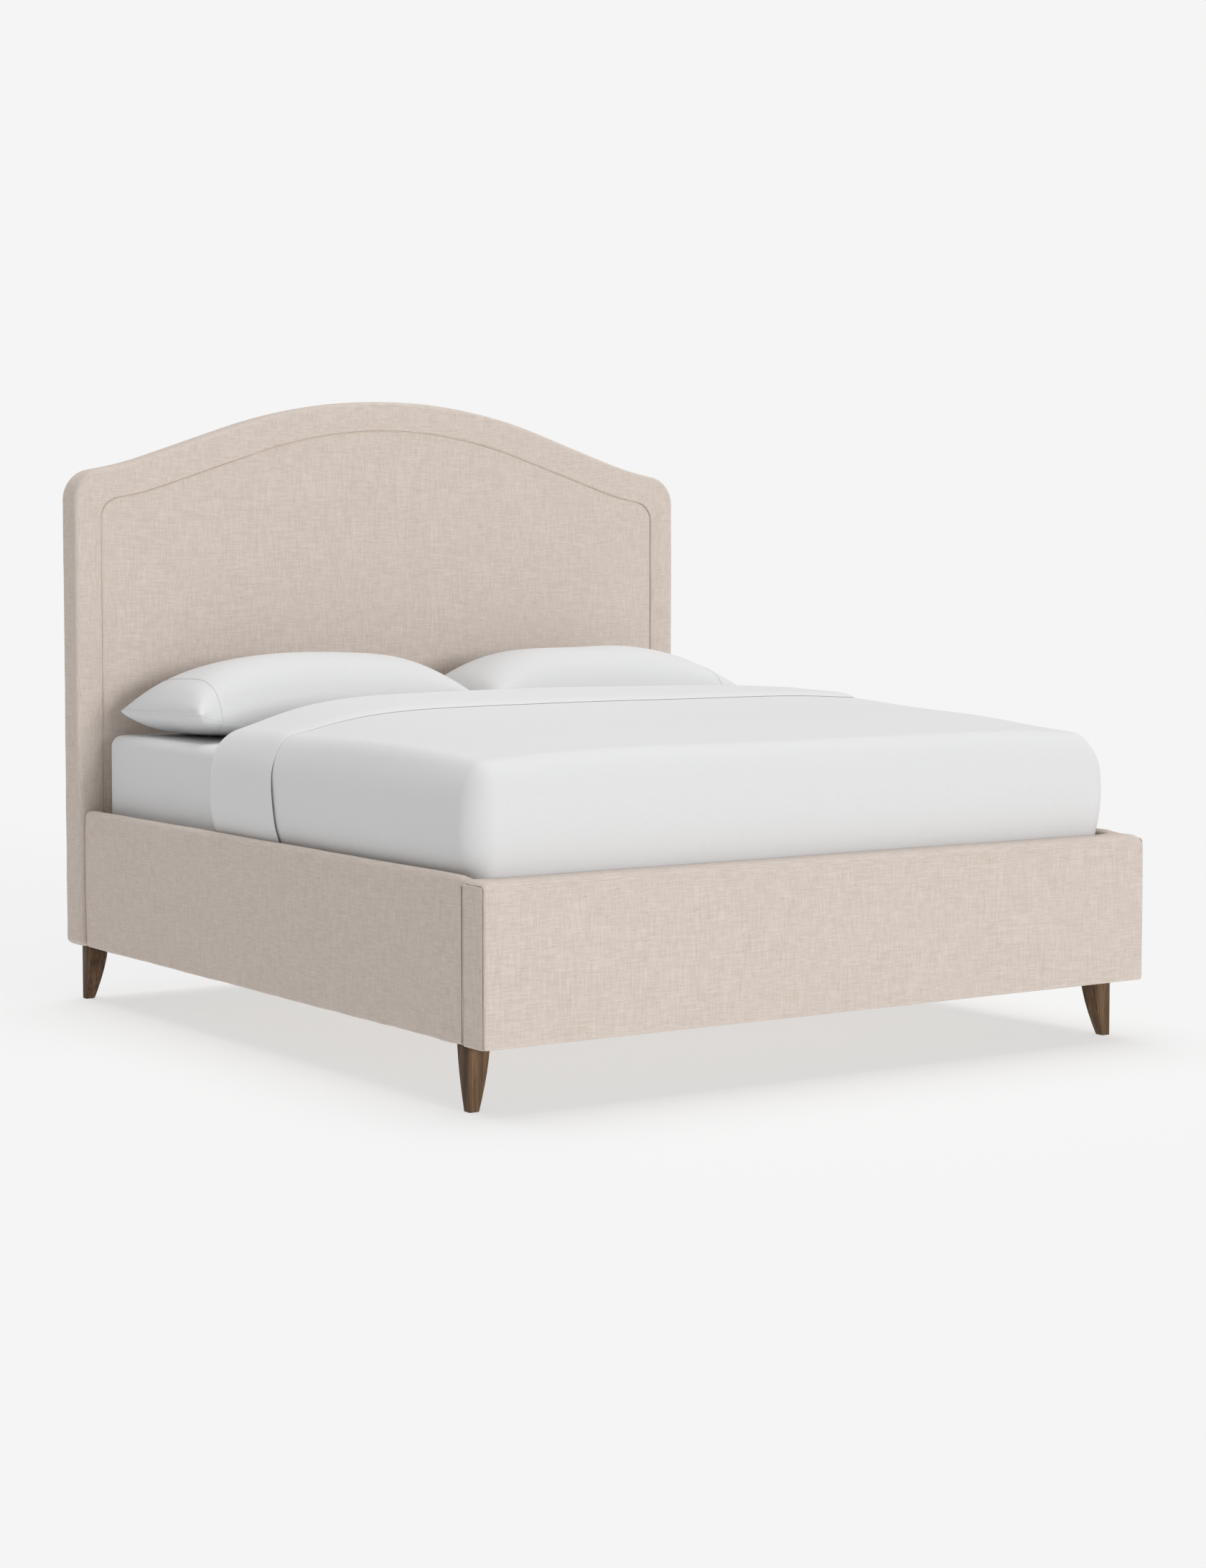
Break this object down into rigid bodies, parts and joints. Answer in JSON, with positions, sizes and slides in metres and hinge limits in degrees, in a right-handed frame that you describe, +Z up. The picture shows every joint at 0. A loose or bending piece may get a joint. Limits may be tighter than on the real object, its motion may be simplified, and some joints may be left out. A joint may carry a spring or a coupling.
{
  "type": "upholstered headboard bed",
  "caption": "Upholstered bed with a camelback padded headboard, low padded rails and footboard, tapered wooden legs, mattress, duvet and pillows.",
  "frame": {"origin": "floor plane, under the centre of the bed's bounding box", "axes": "+X to the right as seen from the foot, +Y from the footboard to the headboard, +Z up"},
  "size_m": [2.06, 2.262, 1.7275],
  "materials": {
    "linen": "matt slubby linen weave",
    "welt_linen": "matt linen welt",
    "walnut_stained_wood": "satin dark stain",
    "pine_timber": "planed, unfinished",
    "plywood_board": "sanded board",
    "coated_steel": "dark powder coat",
    "black_nylon": "moulded",
    "dust_cloth": "non-woven cloth",
    "mattress_ticking": "knitted ticking",
    "white_cotton": "smooth percale"
  },
  "bodies": {
    "bed_frame": {"beam_hanger_foot": "coated_steel", "beam_hanger_head": "coated_steel", "centre_beam": "pine_timber", "centre_leg_1": "pine_timber", "centre_leg_2": "pine_timber", "corner_block_left": "pine_timber", "corner_block_right": "pine_timber", "footboard_back_board": "plywood_board", "footboard_end_block_left": "pine_timber", "footboard_end_block_right": "pine_timber", "footboard_end_strip_left": "linen", "footboard_end_strip_right": "linen", "footboard_front_board": "plywood_board", "footboard_pad": "linen", "head_bracket_left": "coated_steel", "head_bracket_right": "coated_steel", "headboard_back_cloth": "dust_cloth", "headboard_border_pad": "linen", "headboard_core_board": "plywood_board", "headboard_cross_rail_high": "pine_timber", "headboard_cross_rail_low": "pine_timber", "headboard_inner_pad": "linen", "headboard_stile_left": "pine_timber", "headboard_stile_right": "pine_timber", "headboard_welt": "welt_linen", "leg_front_left": "walnut_stained_wood", "leg_front_right": "walnut_stained_wood", "leg_plate_front_left": "coated_steel", "leg_plate_front_right": "coated_steel", "leg_plate_rear_left": "coated_steel", "leg_plate_rear_right": "coated_steel", "leg_rear_left": "walnut_stained_wood", "leg_rear_right": "walnut_stained_wood", "side_rail_left_board": "plywood_board", "side_rail_left_pad": "linen", "side_rail_right_board": "plywood_board", "side_rail_right_pad": "linen", "slat_01": "pine_timber", "slat_02": "pine_timber", "slat_03": "pine_timber", "slat_04": "pine_timber", "slat_05": "pine_timber", "slat_06": "pine_timber", "slat_07": "pine_timber", "slat_08": "pine_timber", "slat_09": "pine_timber", "slat_10": "pine_timber", "slat_ledger_left": "pine_timber", "slat_ledger_right": "pine_timber"},
    "mattress": {"mattress": "mattress_ticking", "fitted_sheet": "white_cotton"},
    "top_bedding": {"duvet": "white_cotton", "flat_sheet": "white_cotton"},
    "pillow_left": {"pillow_left": "white_cotton"},
    "pillow_right": {"pillow_right": "white_cotton"},
    "levelling_foot_1": {"levelling_foot_1": "black_nylon"},
    "levelling_foot_2": {"levelling_foot_2": "black_nylon"}
  },
  "joints": [
    {"name": "mattress_lift", "type": "slide", "parent": "bed_frame", "child": "mattress", "axis": [0, 0, 1], "range_m": [0, 0.35]},
    {"name": "bedding_lift", "type": "slide", "parent": "mattress", "child": "top_bedding", "axis": [0, 0, 1], "range_m": [0, 0.35]},
    {"name": "pillow_left_lift", "type": "slide", "parent": "mattress", "child": "pillow_left", "axis": [0, 0, 1], "range_m": [0, 0.3]},
    {"name": "pillow_right_lift", "type": "slide", "parent": "mattress", "child": "pillow_right", "axis": [0, 0, 1], "range_m": [0, 0.3]},
    {"name": "levelling_foot_1_screw", "type": "slide", "parent": "bed_frame", "child": "levelling_foot_1", "axis": [0, 0, 1], "range_m": [0, 0.012]},
    {"name": "levelling_foot_2_screw", "type": "slide", "parent": "bed_frame", "child": "levelling_foot_2", "axis": [0, 0, 1], "range_m": [0, 0.012]}
  ]
}
